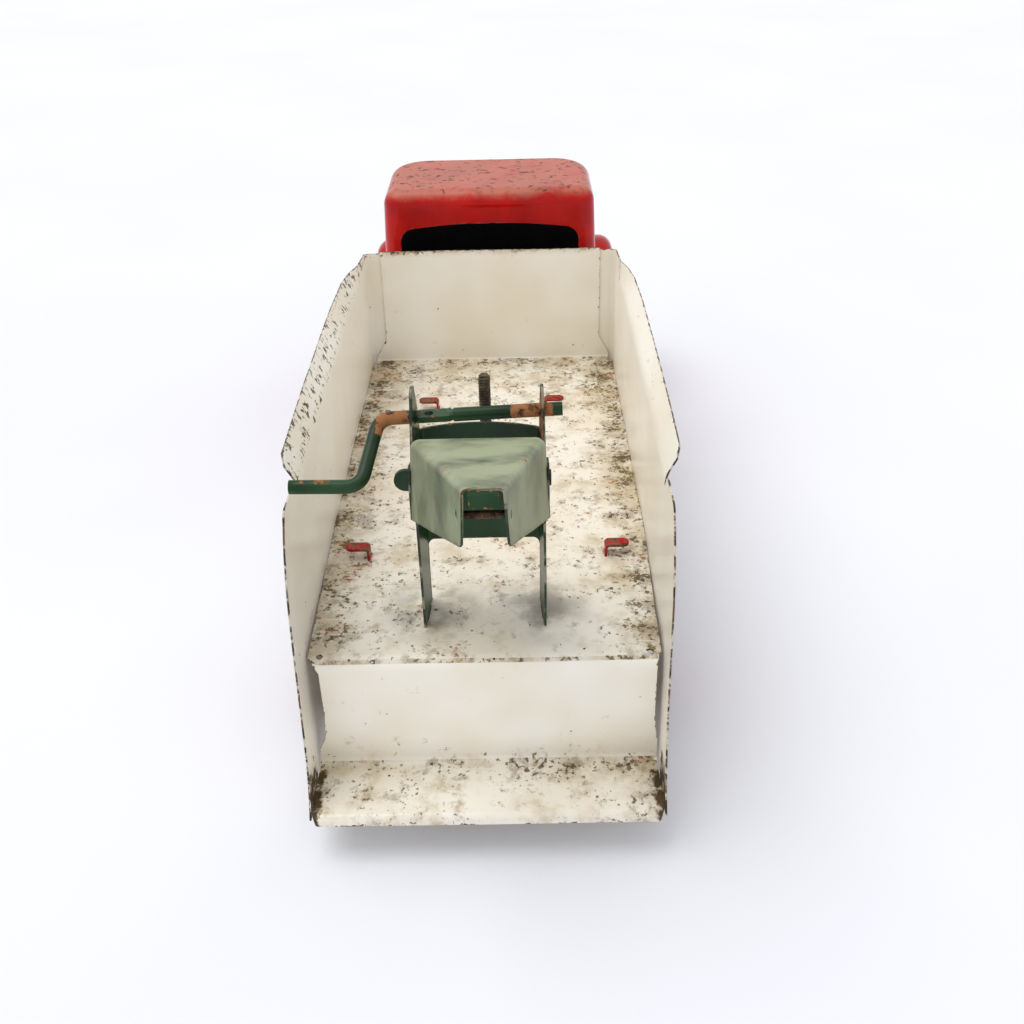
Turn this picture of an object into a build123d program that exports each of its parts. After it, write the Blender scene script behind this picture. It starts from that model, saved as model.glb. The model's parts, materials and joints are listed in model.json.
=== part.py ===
from build123d import *
import os
from math import cos, radians, sin

# Toy breakdown lorry in pressed steel, in millimetres. The front faces -Y, +Z is up and the
# wheels stand on z = 0. +X is the lorry's left side, where the winch handle is.

# ---- driving dimensions -------------------------------------------------------------------
bed_sheet = 0.8            # sheet of the load bed
bed_floor_z = 78.0         # top of the load floor
bed_front_y = -87.5        # rear face of the headboard
bed_tail_y = 207.5         # tail face of the step
bed_half = 75.0            # inner face of each side panel
headboard_top_z = 148.8
headboard_half = 65.9
step_drop = 55.7           # load floor down to the tow ledge
ledge_end_y = 240.5
ledge_lip_z = 18.0
step_left_x = 68.5         # the riser's own edges, cut back from the side panels
step_right_x = -71.0
toe_in_start_y = 97.5      # the side panels close in slightly behind this line
toe_in_end_y = 238.0
toe_in = 1.7

rim_start_y = -54.5        # the flared rims run between these two stations
rim_end_y = 173.0
rim_bend_z = 139.5         # where the rim starts to lean out of the upright panel
rim_bend_radius = 14.0
rim_lean = 28.0            # full lean from the upright, in degrees
rim_band_z = 131.5
skirt_front_z = 54.0
arch_radius = 39.0

axle_z = 33.0
rear_axle_y = 135.5
front_axle_y = -237.5
axle_radius = 2.0
tyre_radius = 33.0
tyre_width = 14.0
rim_radius = 20.0

bracket_sheet = 1.2
rear_bracket_half = 55.6
front_bracket_half = 58.6
chassis_half = 31.6
chassis_web_z = 49.0
chassis_front_y = -276.0
chassis_rear_y = -15.0
chassis_step_y = -82.0           # ahead of this the channel is lower, to clear the cab
front_tab_y = -20.0
rear_tab_y = 131.0
tab_length = 11.2

mast_sheet = 1.0
mast_rear_y = 185.5
mast_front_y = 164.5
mast_half_rear = 26.1
mast_half_front = 24.6
mast_top_z = 186.6
web_bottom_z = 110.0
web_top_z = 164.0
web_crown = 2.6

pivot_y, pivot_z = 175.5, 145.0
pivot_radius = 2.3
jib_sheet = 0.8
jib_base_y, jib_base_z = 187.2, 169.6
jib_nose_x, jib_nose_y, jib_nose_z = -5.4, 285.5, 206.0   # the nose stands off to the right
jib_ear_inner = 26.6

shaft_radius = 2.7
shaft_left = (26.3, 175.5, 173.2)     # shaft axis in the left plate
shaft_right = (-26.9, 175.5, 175.4)   # and in the right plate
running_gap = 0.06
line_hole_x = 18.9         # the hole for the winch line, across the flattened stretch
line_hole_radius = 1.8

screw_x, screw_y = -2.4, 159.0
screw_radius = 2.5
screw_top_z = 183.0
lug_z = 147.0

cab_sheet = 1.0
cab_half_foot = 67.8
cab_half_roof = 62.8
cab_rear_y = -97.5
cab_bottom_z = 58.0
cab_top_z = 181.0
wing_half = 85.5
wing_crown_z = 107.0
bumper_front_y = -286.0


# ---- helpers ------------------------------------------------------------------------------
def plate_yz(face, x_low, x_high):
    """A face drawn in (y, z), given thickness between two x planes."""
    return extrude(Plane.YZ.offset(x_low) * face, amount=x_high - x_low)


def plate_xz(face, y_low, y_high):
    """A face drawn in (x, z), given thickness between two y planes."""
    return extrude(Plane.XZ.offset(-y_high) * face, amount=y_high - y_low)


def plate_xy(face, z_low, z_high):
    return extrude(Plane.XY.offset(z_low) * face, amount=z_high - z_low)


def polygon(points):
    return make_face(Polyline(*points, close=True))


def box(low, high):
    size = [b - a for a, b in zip(low, high)]
    centre = [(a + b) / 2 for a, b in zip(low, high)]
    return Pos(*centre) * Box(*size)


def rod_x(x_low, x_high, y, z, radius):
    return Pos((x_low + x_high) / 2, y, z) * Rot(0, 90, 0) * Cylinder(radius, x_high - x_low)


def bar_between(start, end, radius):
    line = Line(start, end)
    return sweep(Plane(line @ 0, z_dir=line % 0) * Circle(radius), path=line)


def folded_strip(points, radii, thickness):
    """The section of a folded sheet, traced along its centre line."""
    return trace(FilletPolyline(*points, radius=radii), line_width=thickness)


def mirror_x(shape):
    return mirror(shape, about=Plane.YZ)


def one_solid(shape):
    solids = shape.solids()
    return solids[0] if len(solids) == 1 else Compound(children=list(solids))


# ---- load bed -----------------------------------------------------------------------------
def wall_inner_x(y):
    """Inner face of a side panel, with its slight closing-in towards the tail."""
    share = max(0.0, (y - toe_in_start_y) / (toe_in_end_y - toe_in_start_y))
    return bed_half - toe_in * share


def bed_panel():
    mid = bed_sheet / 2
    ledge_z = bed_floor_z - step_drop
    path = [
        (bed_front_y - mid, headboard_top_z),
        (bed_front_y - mid, bed_floor_z - mid),
        (bed_tail_y - mid, bed_floor_z - mid),
        (bed_tail_y - mid, ledge_z - mid),
        (ledge_end_y - 1.6, ledge_z - mid),
        (ledge_end_y - mid, ledge_lip_z),
    ]
    panel = plate_yz(folded_strip(path, [2.4, 5.0, 4.0, 2.6], bed_sheet), -80, 80)
    panel &= bed_plan_blank()
    panel &= headboard_blank()
    return panel - floor_slots() - relief_holes() - riser_cuts()


def bed_plan_blank():
    """Outline of the panel from above, drawn in towards the tail with the side panels."""
    front_y, neck_y = bed_front_y - 3, bed_tail_y - 5.5
    corner_y = bed_front_y + 3
    tail_half = wall_inner_x(bed_tail_y) - 1.0
    ledge_half = wall_inner_x(ledge_end_y) - 0.25
    half_outline = [
        (bed_half - 2.5, front_y), (bed_half - 2.5, corner_y), (bed_half - 0.1, corner_y + 1),
        (bed_half - 0.1, toe_in_start_y), (tail_half, neck_y), (ledge_half, ledge_end_y + 0.4),
    ]
    outline = polygon(half_outline + [(-x, y) for x, y in reversed(half_outline)])
    corners = outline.vertices().group_by(Axis.Y)[-1]
    return plate_xy(fillet(corners, 5), 0, 200)


def riser_cuts():
    """The riser's sides are cut back between the floor and the ledge."""
    tools = []
    for edge_x, sign in ((step_left_x, 1), (step_right_x, -1)):
        points = [(sign * 80, 77.2), (sign * 71.5, 77.2), (edge_x, 72), (edge_x, 48), (edge_x + sign, 36),
                  (sign * 74, 27), (sign * 80, 27)]
        tools.append(plate_xz(polygon(points), bed_tail_y - 4, bed_tail_y + 6))
    return tools


def headboard_blank():
    """The headboard is narrower than the floor and widens in a chamfer at its foot."""
    shoulder_z, foot_z = bed_floor_z + 15, bed_floor_z + 4
    points = [(bed_half, 0), (bed_half, foot_z - 2), (bed_half - 3, foot_z),
              (headboard_half, shoulder_z), (headboard_half, headboard_top_z)]
    outline = polygon(points + [(-x, z) for x, z in reversed(points)])
    front = plate_xz(outline, bed_front_y - 3, bed_front_y + 2.5)
    behind = box((-80, bed_front_y + 2.5, 0), (80, ledge_end_y + 2, 200))
    return front + behind


def floor_slots():
    tools = []
    for side in (-1, 1):
        for x, y in ((rear_bracket_half - 0.6, rear_tab_y), (chassis_half - 0.6, front_tab_y)):
            tools.append(Pos(side * x, y, bed_floor_z) * Box(1.8, 6.8, 6))
        foot_x = (mast_half_rear + mast_half_front) / 2 - 0.4
        tools.append(Pos(side * foot_x, 175.0, bed_floor_z) * Rot(0, 0, -side * 4.1) * Box(2.0, 10.6, 6))
    return tools


def relief_holes():
    tools = []
    for side in (-1, 1):
        tools.append(Pos(side * 72.0, bed_front_y + 2.5, bed_floor_z) * Cylinder(1.3, 8))
        tools.append(Pos(side * 68.0, bed_tail_y - 4, bed_floor_z) * Cylinder(1.3, 8))
    return tools


def side_panel_outline():
    """Side panel in (y, z): front edge, space for the rim, upright rear flag, sloping tail, skirt."""
    return make_face([
        Polyline(
            (toe_in_end_y - 1, ledge_lip_z), (rear_axle_y, ledge_lip_z), (rear_axle_y, skirt_front_z),
            (-92, skirt_front_z), (-92, 147.2), (rim_start_y, 152.0), (rim_start_y, rim_band_z),
            (rim_end_y, rim_band_z), (rim_end_y, rim_bend_z - 1), (174.6, rim_bend_z + 0.6),
            (178.4, 145.2), (181.5, 146.6), (200.0, 147.4),
        ),
        ThreePointArc((200.0, 147.4), (203.6, 146.4), (205.0, 144.0)),
        Spline((205.0, 144.0), (213.5, 128.0), (219.5, 104.0), (223.5, 75.0), (226.5, 48.0)),
        ThreePointArc((226.5, 48.0), (230.6, 31.0), (toe_in_end_y - 1, ledge_lip_z)),
    ])


def rim_section(y, lean, top_z):
    """Section of the panel's top band at one station: upright, a soft bend, then the leaning rim."""
    middle, half = wall_inner_x(y) + bed_sheet / 2, bed_sheet / 2
    turn = radians(lean)
    length = (top_z - rim_bend_z - rim_bend_radius * sin(turn)) / cos(turn)

    def side(offset):
        radius = rim_bend_radius - offset
        centre = middle + rim_bend_radius
        start = (middle + offset, rim_bend_z)
        halfway = (centre - radius * cos(turn / 2), rim_bend_z + radius * sin(turn / 2))
        end = (centre - radius * cos(turn), rim_bend_z + radius * sin(turn))
        tip = (end[0] + length * sin(turn), end[1] + length * cos(turn))
        return start, halfway, end, tip

    (b_in, m_in, c_in, d_in), (b_out, m_out, c_out, d_out) = side(-half), side(half)
    foot_in, foot_out = (middle - half, rim_band_z), (middle + half, rim_band_z)
    face = make_face([
        Line(foot_in, b_in), ThreePointArc(b_in, m_in, c_in), Line(c_in, d_in), Line(d_in, d_out),
        Line(d_out, c_out), ThreePointArc(c_out, m_out, b_out), Line(b_out, foot_out),
        Line(foot_out, foot_in),
    ])
    return Plane.XZ.offset(-y) * face


def flared_rim():
    """The leaning rim, upright at its front and fully out from the second third of its length."""
    stations = [
        (rim_start_y, 1.0, 152.0), (-42, rim_lean * 0.5, 152.8), (-26, rim_lean * 0.85, 153.4),
        (10, rim_lean, 153.8), (60, rim_lean, 154.0), (toe_in_start_y, rim_lean, 154.0),
        (135, rim_lean, 153.8), (167, rim_lean, 153.6), (rim_end_y, rim_lean, 150.8),
    ]
    return loft([rim_section(*station) for station in stations], ruled=True)


def bed_side():
    """Left side panel, with the front return that fills the corner beside the headboard."""
    mid = bed_sheet / 2
    return_y = bed_front_y - bed_sheet - mid
    path = [(headboard_half - 0.9, return_y), (bed_half + mid, return_y),
            (bed_half + mid, toe_in_start_y), (bed_half + mid - toe_in, toe_in_end_y)]
    strip = folded_strip(path[:3], [2.6], bed_sheet) + trace(Line(*path[2:]), line_width=bed_sheet)
    wall = plate_xy(strip, 10, 170) & plate_yz(side_panel_outline(), 55, 90)
    wall += flared_rim()
    return wall - rod_x(55, 95, rear_axle_y, axle_z, arch_radius)


# ---- chassis, brackets and running gear ---------------------------------------------------
def floor_tab(x, y, base_z):
    """A tab that comes up through the load floor and is bent outwards over it."""
    top_z = bed_floor_z + 5.4
    path = [(x, base_z), (x, top_z), (x + tab_length - 0.6, top_z)]
    tab = plate_xz(folded_strip(path, [1.6], bracket_sheet), y - 3, y + 3)
    tip = tab.edges().filter_by(Axis.Z).group_by(Axis.X)[-1]
    return fillet(tip, 2.8)


def rear_axle_bracket():
    half, sheet = rear_bracket_half, bracket_sheet
    centre = half - sheet / 2
    top_z, web_z = bed_floor_z - bed_sheet, 24.0
    path = [(-centre, top_z), (-centre, web_z), (centre, web_z), (centre, top_z)]
    bracket = plate_xz(folded_strip(path, [3, 3], sheet), rear_axle_y - 22, rear_axle_y + 22)
    bracket -= rod_x(-90, 90, rear_axle_y, axle_z, axle_radius)
    tab = floor_tab(centre, rear_tab_y, top_z - 4)
    return bracket + tab + mirror_x(tab)


def chassis_frame():
    """Channel under the bed's front end and the cab; its rear tabs hold the bed."""
    sheet = bracket_sheet
    centre = chassis_half - sheet / 2
    top_z = bed_floor_z - bed_sheet
    mid_z = chassis_web_z + sheet / 2
    path = [(-centre, top_z), (-centre, mid_z), (centre, mid_z), (centre, top_z)]
    channel = plate_xz(folded_strip(path, [3, 3], sheet), chassis_front_y, chassis_rear_y)
    channel -= box((-50, chassis_front_y - 1, cab_bottom_z - cab_sheet), (50, chassis_step_y, 120))
    lightening = plate_xy(Pos(0, -130) * SlotOverall(60, 22, rotation=90), 40, 60)
    channel -= lightening
    tab = floor_tab(centre, front_tab_y, top_z - 4)
    return channel + tab + mirror_x(tab)


def front_axle_bracket():
    sheet = bracket_sheet
    centre = front_bracket_half - sheet / 2
    mid_z = chassis_web_z - sheet / 2
    path = [(-centre, 25), (-centre, mid_z), (centre, mid_z), (centre, 25)]
    bracket = plate_xz(folded_strip(path, [3, 3], sheet), front_axle_y - 11, front_axle_y + 11)
    return bracket - rod_x(-90, 90, front_axle_y, axle_z, axle_radius)


def axle(y, half_length):
    return rod_x(-half_length, half_length, y, axle_z, axle_radius)


def axle_caps(y, inner_x):
    """Domed caps pressed on both axle ends."""
    left = Pos(inner_x, y, axle_z) * Rot(0, 90, 0) * axle_cap()
    right = Pos(-inner_x, y, axle_z) * Rot(0, -90, 0) * axle_cap()
    return left + right


def axle_cap():
    cap_radius, cap_height = 5.0, 2.9
    sphere_radius = (cap_radius ** 2 + cap_height ** 2) / (2 * cap_height)
    dome = Pos(0, 0, cap_height - sphere_radius) * Sphere(sphere_radius)
    dome &= box((-6, -6, 0), (6, 6, 6))
    return dome - Pos(0, 0, 0.9) * Cylinder(axle_radius, 1.8)


def wheel_disc():
    """Pressed wheel, dished outwards, drawn about Z with its outer side up."""
    bore = axle_radius + running_gap
    half = tyre_width / 2
    face = make_face([
        Polyline((bore, -half + 0.4), (6.0, -half + 0.4), (6.5, -1.0), (15.5, -1.0), (17.5, -half + 1.5),
                 (rim_radius, -half + 1.5), (rim_radius, half - 1.6), (rim_radius + 2.2, half - 0.6),
                 (rim_radius + 1.6, half + 0.2), (18.2, half - 0.6), (15.5, 2.0), (8.5, 1.4),
                 (6.4, 3.2), (bore, 3.2), (bore, -half + 0.4)),
    ])
    disc = revolve(Plane.XZ * face, axis=Axis.Z)
    holes = [Rot(0, 0, 60 * n) * Pos(11.8, 0, 0) * Cylinder(1.9, 20) for n in range(6)]
    return disc - holes


def tyre():
    """Rubber tyre with two tread grooves, drawn about Z."""
    half, rim = tyre_width / 2, rim_radius
    face = make_face([
        Polyline((rim, half - 2.0), (rim, -half + 0.6), (rim + 5, -half)),
        ThreePointArc((rim + 5, -half), (tyre_radius - 2.2, -half + 1.3), (tyre_radius - 0.2, -half + 3.6)),
        Polyline((tyre_radius - 0.2, -half + 3.6), (tyre_radius - 0.2, -2.6), (tyre_radius - 1.4, -2.2),
                 (tyre_radius - 1.4, -1.5), (tyre_radius, -1.1), (tyre_radius, 1.1), (tyre_radius - 1.4, 1.5),
                 (tyre_radius - 1.4, 2.2), (tyre_radius - 0.2, 2.6), (tyre_radius - 0.2, half - 3.6)),
        ThreePointArc((tyre_radius - 0.2, half - 3.6), (tyre_radius - 2.2, half - 1.3), (rim + 5, half)),
        Polyline((rim + 5, half), (rim + 2.8, half - 0.6), (rim, half - 2.0)),
    ])
    return revolve(Plane.XZ * face, axis=Axis.Z)


def place_wheel(shape, centre_x, y):
    """Turns a wheel part so its outer side faces away from the lorry."""
    turn = 90 if centre_x > 0 else -90
    return Pos(centre_x, y, axle_z) * Rot(0, turn, 0) * shape


# ---- crane --------------------------------------------------------------------------------
def mast_bracket():
    """Two side plates joined by a web at the front, on feet that pass through the floor."""
    mid = mast_sheet / 2
    front_x, rear_x = mast_half_front - mid, mast_half_rear - mid
    web_y = mast_front_y + mid
    path = [(-rear_x, mast_rear_y), (-front_x, web_y), (front_x, web_y), (rear_x, mast_rear_y)]
    plan = folded_strip(path, [2.0, 2.0], mast_sheet)
    mast = plate_xy(plan, bed_floor_z - bed_sheet, mast_top_z) & plate_yz(mast_side_outline(), -40, 40)
    mast -= web_windows()
    mast += screw_lug()
    mast += mast_feet()
    mast -= rod_x(-40, 40, pivot_y, pivot_z, pivot_radius)
    return mast - bar_between(*shaft_line(40, -40), shaft_radius + running_gap)


def mast_side_outline():
    """Side plate in (y, z): wide at the foot, drawn in to a narrow rounded top."""
    foot, top_y = bed_floor_z - bed_sheet, 176.5
    return make_face([
        Polyline((170.2, foot), (170.2, bed_floor_z), (160, bed_floor_z), (160, web_top_z + 4),
                 (mast_front_y + 2, web_top_z + 4), (top_y - 3.6, mast_top_z - 3.6)),
        ThreePointArc((top_y - 3.6, mast_top_z - 3.6), (top_y, mast_top_z),
                      (top_y + 3.6, mast_top_z - 3.6)),
        Polyline((top_y + 3.6, mast_top_z - 3.6), (mast_rear_y, web_top_z + 2), (mast_rear_y, bed_floor_z),
                 (179.8, bed_floor_z), (179.8, foot), (170.2, foot)),
    ])


def web_windows():
    """Cuts the opening under the web, trims its crowned top, and frees the lug's blank."""
    half = mast_half_front - mast_sheet
    below = fillet(polygon([(-half, 70), (half, 70), (half, web_bottom_z), (-half, web_bottom_z)])
                   .vertices().group_by(Axis.Y)[-1], 3)
    ends = web_top_z - 1.5
    above = make_face([
        Polyline((half + 0.8, ends), (half + 0.8, 200), (-half - 0.8, 200), (-half - 0.8, ends)),
        ThreePointArc((-half - 0.8, ends), (0, ends + web_crown), (half + 0.8, ends)),
    ])
    lug_blank = Pos(screw_x, lug_z - 6.5) * Rectangle(11, 11)
    depth = (mast_front_y - 2, mast_front_y + 2.6)
    return [plate_xz(face, *depth) for face in (below, above, lug_blank)]


def screw_lug():
    """The lug folded forward out of the web, which holds the screw."""
    lug = box((screw_x - 5.5, mast_front_y - 10.5, lug_z - mast_sheet),
              (screw_x + 5.5, mast_front_y + mast_sheet, lug_z))
    lug = fillet(lug.edges().filter_by(Axis.Z).group_by(Axis.Y)[0], 4)
    return lug - Pos(screw_x, screw_y, lug_z) * Cylinder(screw_radius, 10)


def mast_feet():
    """Tabs below the floor, turned inwards to clinch the mast."""
    x = (mast_half_rear + mast_half_front) / 2 - mast_sheet / 2
    under = bed_floor_z - bed_sheet
    foot = box((x - 8, 170.2, under - mast_sheet), (x + 0.9, 179.8, under))
    return foot + mirror_x(foot)


def shaft_line(x_start, x_end):
    left, right = Vector(*shaft_left), Vector(*shaft_right)
    slope = (right - left) * (1 / (right.X - left.X))
    return left + slope * (x_start - left.X), left + slope * (x_end - left.X)


def winch_crank():
    """Bent rod: a shaft across the mast, a throw and a handle outside the left plate."""
    end, elbow = shaft_line(-32.8, 38.3)
    path = FilletPolyline(end, elbow, (43.8, 203.0, 158.5), (70.5, 203.0, 158.9), radius=[6.5, 6.5])
    rod = sweep(Plane(path @ 0, z_dir=path % 0) * Circle(shaft_radius), path=path)
    inner, outer = shaft_line(9.2, 24.6)
    along = (outer - inner).normalized()
    frame = Plane(origin=(inner + outer) * 0.5, x_dir=along, z_dir=along.cross(Vector(0, 1, 0)))
    width, thickness = 15.4, 2.4
    spade = frame * Box(width, 6.8, thickness)
    spade = fillet(spade.edges().filter_by(lambda e: abs(e.length - thickness) < 0.01), 2.6)
    cutter = [frame * Pos(0, 0, side * 5) * Box(width, 12, 10 - thickness) for side in (-1, 1)]
    return (rod - cutter) + spade - frame * Pos(line_hole_x - 16.9, 0, 0) * Cylinder(line_hole_radius, 12)


def jib_section(y, z_top, half_top, half_low, depth, radius, shift):
    """Closed outline of the jib at one station, wider at its lower edges."""
    face = polygon([(-half_low, z_top - depth), (half_low, z_top - depth),
                    (half_top, z_top), (-half_top, z_top)])
    top = face.vertices().group_by(Axis.Y)[-1]
    return Plane.XZ.offset(-y) * Pos(shift, 0) * fillet(top, radius)


def jib_wedge(inset, drop):
    """Solid wedge between the base and the nose; inset gives the inner form."""
    base = jib_section(jib_base_y - 16, jib_base_z - 5.9 - inset, 28.9 - inset,
                       31.2 - inset + drop * 0.06, 40 + drop, 4.5 - inset, -0.16 * jib_nose_x)
    nose = jib_section(jib_nose_y + 4, jib_nose_z + 1.5 - inset, 5.8 - inset,
                       7.0 - inset + drop * 0.06, 24 + drop, 2.0 - inset, 1.04 * jib_nose_x)
    return loft([base, nose])


def jib_outline():
    """Side view of the jib in (y, z), without its ears."""
    return polygon([(jib_base_y, jib_base_z + 4), (jib_base_y, 133.5), (283.6, 184.5), (286.0, 187.0),
                    (jib_nose_y, jib_nose_z + 5)])


def jib():
    """Tapered channel, open below, whose ears straddle the mast plates."""
    shell = jib_wedge(0, 0) - jib_wedge(jib_sheet, 10)
    shell &= plate_yz(jib_outline(), -40, 40)
    ear = plate_yz(ear_outline(), jib_ear_inner, jib_ear_inner + jib_sheet)
    shell += ear + mirror_x(ear) + jib_lip()
    shell -= rod_x(-40, 40, pivot_y, pivot_z, pivot_radius + running_gap)
    shell -= nose_pin_rod(12)
    return shell


def ear_outline():
    return make_face([
        Polyline((jib_base_y + 2.5, 135.0), (jib_base_y + 2.5, 157.0), (jib_base_y - 2.5, 157.0),
                 (pivot_y - 3, pivot_z + 7.5)),
        ThreePointArc((pivot_y - 3, pivot_z + 7.5), (pivot_y - 8, pivot_z), (pivot_y - 3, pivot_z - 7.5)),
        Line((pivot_y - 3, pivot_z - 7.5), (jib_base_y + 2.5, 135.0)),
    ])


def jib_lip():
    """The nose's folded-down lip."""
    outline = polygon([(-4.4, jib_nose_z - 7), (4.4, jib_nose_z - 7), (4.7, jib_nose_z - 0.6),
                       (-4.7, jib_nose_z - 0.6)])
    return plate_xz(Pos(jib_nose_x, 0) * outline, jib_nose_y - jib_sheet, jib_nose_y)


def nose_pin_rod(half_length):
    return rod_x(jib_nose_x - half_length, jib_nose_x + half_length, 279.0, 193.0, 1.3)


def jib_nose_pin():
    return nose_pin_rod(6.6)


def jib_pivot_pin():
    """Pin with a peened head on the right and a flattened, round-ended spade on the left."""
    outside = jib_ear_inner + jib_sheet + 0.3
    pin = rod_x(-outside - 0.01, outside + 1.5, pivot_y, pivot_z, pivot_radius)
    head = rod_x(-outside - 0.7, -outside, pivot_y, pivot_z, 3.3)
    spade = plate_xz(Pos(outside, pivot_z) * SlotOverall(14, 9.4), pivot_y - 0.9, pivot_y + 0.9)
    spade &= box((outside, 160, 130), (60, 190, 160))
    return pin + head + spade


def anchor_screw():
    """Threaded stud drawn as a stack of ridged turns, with a cheese head below the lug."""
    pitch, foot = 1.15, lug_z - mast_sheet - 2.6
    turns = int((screw_top_z - 2.4 - lug_z - 4) / pitch)
    points = [(0, foot), (4.2, foot), (4.2, foot + 2.6), (screw_radius, foot + 2.6), (screw_radius, lug_z + 4)]
    for n in range(turns):
        z = lug_z + 4 + n * pitch
        points += [(screw_radius - 0.3, z + pitch / 2), (screw_radius, z + pitch)]
    points += [(screw_radius - 0.9, screw_top_z - 0.7), (screw_radius - 1.6, screw_top_z), (0, screw_top_z)]
    stud = revolve(Plane.XZ * polygon(points), axis=Axis.Z)
    stud -= Pos(0, 0, foot) * Box(10, 0.9, 2.0)
    return Pos(screw_x, screw_y, 0) * stud


def anchor_nut():
    nut = plate_xy(RegularPolygon(4.6, 6), lug_z, lug_z + 3.4)
    return Pos(screw_x, screw_y, 0) * (nut - Pos(0, 0, lug_z) * Cylinder(screw_radius, 12))


# ---- cab and front end --------------------------------------------------------------------
def cab_section(z, half, front_y, inset):
    rear_y = cab_rear_y - inset
    face = polygon([(-half + inset, rear_y), (half - inset, rear_y), (half - inset, front_y + inset),
                    (-half + inset, front_y + inset)])
    rows = face.vertices().group_by(Axis.Y)
    face = fillet(rows[-1], 11 - inset)
    face = fillet(face.vertices().group_by(Axis.Y)[0], 24 - inset)
    return Plane.XY.offset(z) * face


def cab_form(inset):
    """Closed cab: upright back, sides leaning in, sloping screen, rounded roof edge."""
    top = cab_top_z - inset
    form = loft([cab_section(cab_bottom_z - (5 if inset else 0), cab_half_foot, -192.5, inset),
                 cab_section(top, cab_half_roof, -176.0, inset)])
    return fillet(form.faces().sort_by(Axis.Z)[-1].edges(), 9.5 - inset)


def rear_window():
    """Wide window with a slightly arched top."""
    half, foot_z, corner_z, crown_z = 53.6, 137.7, 158.4, 162.2
    face = make_face([
        Polyline((half, corner_z), (half, foot_z), (-half, foot_z), (-half, corner_z)),
        ThreePointArc((-half, corner_z), (0, crown_z), (half, corner_z)),
    ])
    return fillet(face.vertices(), 8.5)


def cab_shell():
    shell = cab_form(0) - cab_form(cab_sheet)
    rear = plate_xz(rear_window(), cab_rear_y - 6, cab_rear_y + 2)
    screen = plate_xz(Pos(0, 148) * RectangleRounded(100, 25, 7), -205, -160)
    door = polygon([(-115, 133), (-115, 161), (-162, 161), (-171, 133)])
    sides = plate_yz(fillet(door.vertices(), 5), -90, 90)
    pillar = box((-2.2, -200, 120), (2.2, -160, 175)) & cab_form(0) - cab_form(cab_sheet)
    return shell - rear - screen - sides + pillar


def cab_floor():
    face = cab_section(cab_bottom_z - cab_sheet, cab_half_foot, -192.5, 0)
    return extrude(face, amount=cab_sheet)


def bonnet_section(y, half, top_z, radius, inset, foot_z):
    face = polygon([(-half + inset, foot_z), (half - inset, foot_z), (half - inset, top_z - inset),
                    (-half + inset, top_z - inset)])
    top = face.vertices().group_by(Axis.Y)[-1]
    return Plane.XZ.offset(-y) * fillet(top, radius - inset)


def bonnet_form(inset):
    foot = cab_bottom_z - (6 if inset else 0)
    return loft([bonnet_section(-172, 43, 131, 26, inset, foot),
                 bonnet_section(-272, 31, 118, 20, inset, foot)])


def bonnet():
    return bonnet_form(0) - bonnet_form(cab_sheet) - cab_form(0)


def grille_panel():
    """Front panel of the bonnet with upright slots."""
    outline = bonnet_section(-272, 31, 118, 20, 0, cab_bottom_z)
    panel = extrude(outline, amount=2.0)
    slots = [plate_xz(Pos(x, 84) * SlotOverall(36, 3.4, rotation=90), -280, -265)
             for x in (-20, -13.3, -6.7, 0, 6.7, 13.3, 20)]
    return panel - slots


def wing_outline(inset):
    """Wing in (y, z): long rear slope, full crown over the wheel, rounded nose."""
    foot = 44.0 if not inset else 38.0
    return make_face([
        Spline((-183 - inset, foot), (-196 - inset, 84), (-232, wing_crown_z - inset), (-262, 97 - inset),
               (-275.5 + inset, 72), tangents=[(-0.1, 1), (-0.25, -1)]),
        Polyline((-275.5 + inset, 72), (-274.5 + inset, foot), (-183 - inset, foot)),
    ])


def wing_form(inset):
    form = plate_yz(wing_outline(inset), 20, wing_half - inset)
    outer = [e for e in form.faces().sort_by(Axis.X)[-1].edges() if e.center().Z > 50]
    return fillet(outer, 9.5 - inset)


def front_wing():
    """Left front wing, hollow, open below and over the wheel."""
    wing = wing_form(0) - wing_form(cab_sheet)
    wing -= rod_x(60, 95, front_axle_y, axle_z, 37.5)
    wing -= bonnet_form(0)
    wing -= box((0, -300, 0), (33, -150, 130))
    wing -= cab_form(0) + box((-71, -192.5, 0), (cab_half_foot + 1.5, -90, 130))
    return wing.solids().sort_by(SortBy.VOLUME)[-1]


def headlamp():
    """Left headlamp, a bullet body seated on the wing with a raised rim and a dished face."""
    face = make_face([
        ThreePointArc((0, 1.6), (4.0, 1.1), (7.6, 0)),
        Polyline((7.6, 0), (8.6, 0), (9.2, 0.8), (9.2, 2.6), (8.4, 3.4)),
        ThreePointArc((8.4, 3.4), (6.4, 12.5), (0, 17.5)),
        Line((0, 17.5), (0, 1.6)),
    ])
    lamp = revolve(Plane.XZ * face, axis=Axis.Z)
    body = Pos(61, -277.0, 103.5) * Rot(-90, 0, 0) * lamp
    stem = Pos(61, -267, 96) * Cylinder(3.0, 16)
    return (body + stem) - wing_form(0)


def front_bumper():
    """Pressed bar with swept ends and two irons that meet the channel's front."""
    sheet, bow_y = 2.0, bumper_front_y + 1.0
    path = [(-wing_half + 0.6, bow_y + 6), (-66, bow_y), (66, bow_y), (wing_half - 0.6, bow_y + 6)]
    bar = plate_xy(folded_strip(path, [22, 22], sheet), 40, 53)
    irons = [box((side * 26 - 3, bow_y + sheet / 2, 45.5), (side * 26 + 3, chassis_front_y, 52))
             for side in (-1, 1)]
    return bar + irons


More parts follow.
